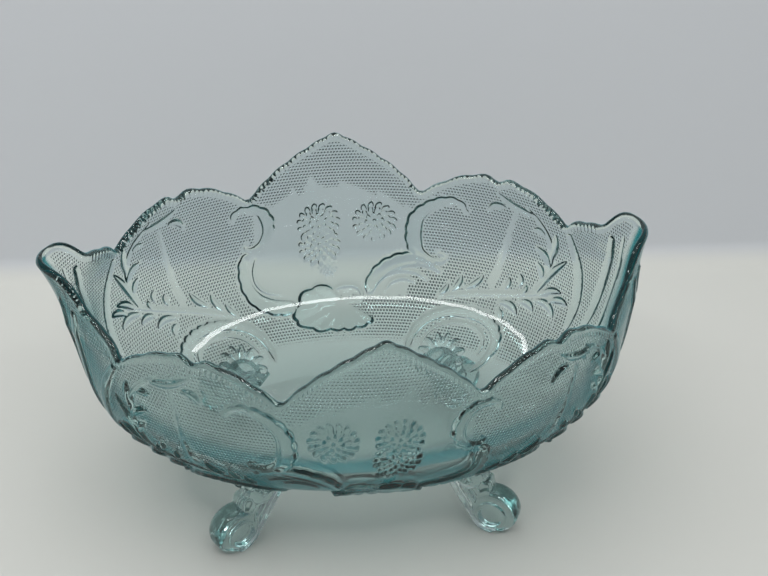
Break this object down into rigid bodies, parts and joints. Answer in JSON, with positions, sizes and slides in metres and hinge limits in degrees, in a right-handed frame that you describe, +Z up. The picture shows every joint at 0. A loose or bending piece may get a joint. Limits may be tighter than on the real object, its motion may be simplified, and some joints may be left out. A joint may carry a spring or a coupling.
{
  "type": "footed oval glass bowl",
  "caption": "Oval pressed-glass serving bowl on scroll feet, with flared ends, a cusped rim and moulded scroll, fern and rosette relief; it holds punch, fruit or flowers on a table.",
  "frame": {"origin": "on the table, under the middle of the bowl's length and width", "axes": "+Z up, +X to the right along the bowl's length, +Y to the back"},
  "size_m": [0.2822, 0.1828, 0.1422],
  "materials": {
    "bowl_glass": "clear pale blue-green pressed glass, smooth inside and finely stippled outside",
    "relief_glass": "the same glass, fire-polished smooth on the raised forms",
    "foot_glass": "the same glass, clear and bright in the thick feet"
  },
  "bodies": {
    "root": {"bowl": "bowl_glass", "rim_edge": "relief_glass", "foot_front_left": "foot_glass", "foot_front_right": "foot_glass", "foot_back_left": "foot_glass", "foot_back_right": "foot_glass", "knee_front_left": "foot_glass", "knee_front_right": "foot_glass", "knee_back_left": "foot_glass", "knee_back_right": "foot_glass", "volute_front_left": "relief_glass", "volute_front_right": "relief_glass", "volute_back_left": "relief_glass", "volute_back_right": "relief_glass", "fern_front_left": "relief_glass", "fern_front_right": "relief_glass", "fern_back_left": "relief_glass", "fern_back_right": "relief_glass", "end_ribs_left": "relief_glass", "end_ribs_right": "relief_glass", "scrolls_front": "relief_glass", "scrolls_back": "relief_glass", "shell_front": "relief_glass", "shell_back": "relief_glass", "flowers_front": "relief_glass", "flowers_back": "relief_glass"}
  },
  "joints": []
}
